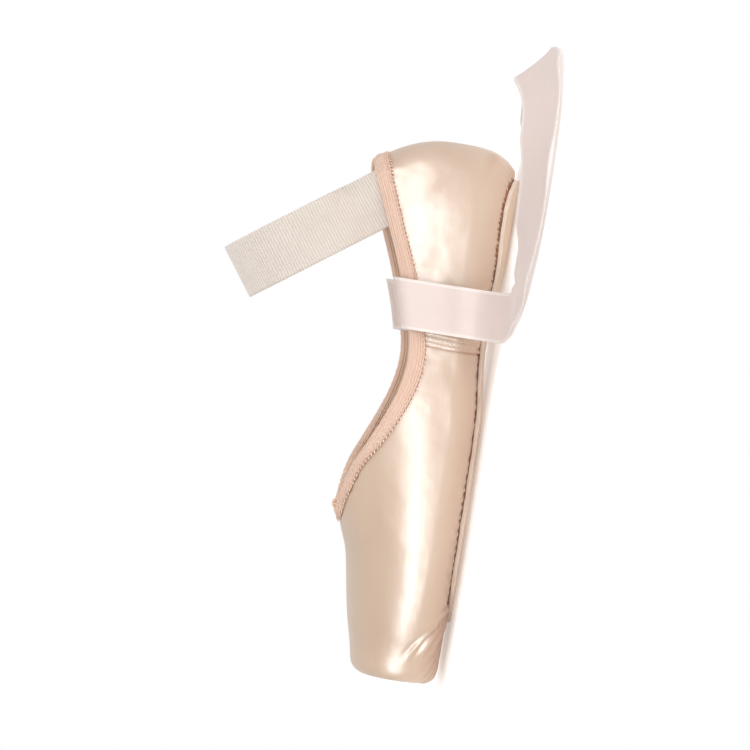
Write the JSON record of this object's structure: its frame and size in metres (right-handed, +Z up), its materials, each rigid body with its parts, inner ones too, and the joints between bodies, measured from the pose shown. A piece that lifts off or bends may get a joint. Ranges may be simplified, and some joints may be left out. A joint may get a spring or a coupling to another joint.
{
  "type": "pointe shoe",
  "caption": "Satin pointe shoe with a stiff flat-tipped box, bound collar with a drawstring knot, leather outsole, elastic ankle loop and loose satin ribbons.",
  "frame": {"origin": "on the floor under the middle of the shoe's length, on its centre plane", "axes": "+Y from heel to toe, +X to the wearer's right, +Z up"},
  "size_m": [0.3736, 0.2813, 0.1253],
  "materials": {
    "satin": "satin",
    "leather": "matt",
    "sock": "matt",
    "binding_tape": "satin",
    "drawcord": "matt",
    "elastic_webbing": "matt",
    "ribbon_satin": "satin"
  },
  "bodies": {
    "root": {"upper": "satin", "outsole": "leather", "insole": "sock", "binding": "binding_tape", "drawstring": "drawcord", "elastic": "elastic_webbing", "ribbon_left": "ribbon_satin", "ribbon_right": "ribbon_satin"}
  },
  "joints": []
}
